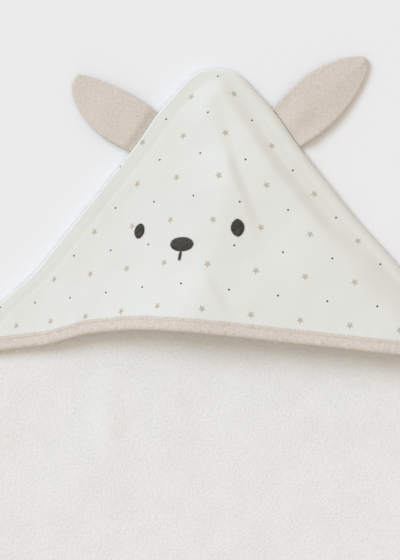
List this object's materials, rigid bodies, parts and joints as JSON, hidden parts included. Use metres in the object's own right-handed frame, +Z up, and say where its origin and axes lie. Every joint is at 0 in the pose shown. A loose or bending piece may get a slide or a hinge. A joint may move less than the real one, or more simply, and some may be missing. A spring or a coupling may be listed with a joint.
{
  "type": "hooded baby towel",
  "caption": "Square terry towel laid flat as a diamond, its top corner covered by a printed hood with an embroidered animal face, folded ears and a taped front edge that opens as a pocket",
  "frame": {"origin": "on the towel's underside, midway between its two side corners, where it rests on a table", "axes": "+Z up off the table, +Y towards the hood's tip, +X to the right as the face is seen the right way up; the hood's mouth faces -Y"},
  "size_m": [1.1042, 1.1405, 0.0305],
  "materials": {
    "terry": "off-white looped terry",
    "printed_cotton": "smooth off-white cotton with small beige stars and dark dots",
    "melange_cotton": "beige melange cotton",
    "white_thread": "off-white sewing thread",
    "beige_thread": "beige sewing thread",
    "satin_stitch": "charcoal satin-stitch embroidery"
  },
  "bodies": {
    "towel": {"towel_body": "terry", "hem_stitch": "white_thread"},
    "hood": {"hood_lining": "terry", "hood_panel": "printed_cotton", "hood_binding": "melange_cotton", "hood_binding_stitch": "beige_thread", "hood_seam_stitch": "white_thread", "left_eye": "satin_stitch", "right_eye": "satin_stitch", "nose": "satin_stitch", "mouth": "satin_stitch"},
    "left_ear": {"left_ear_front": "melange_cotton", "left_ear_back": "melange_cotton"},
    "right_ear": {"right_ear_front": "melange_cotton", "right_ear_back": "melange_cotton"}
  },
  "joints": [
    {"name": "hood_open", "type": "hinge", "parent": "towel", "child": "hood", "pos_m": [0, 0.5503, 0.0056], "axis": [-1, 0, 0], "range_deg": [0, 20]},
    {"name": "left_ear_fold", "type": "hinge", "parent": "towel", "child": "left_ear", "pos_m": [-0.05916, 0.50055, 0.0048], "axis": [0.6225, 0.7826, 0], "range_deg": [0, 80]},
    {"name": "right_ear_fold", "type": "hinge", "parent": "towel", "child": "right_ear", "pos_m": [0.05604, 0.50446, 0.0048], "axis": [0.6225, -0.7826, 0], "range_deg": [0, 80]}
  ]
}
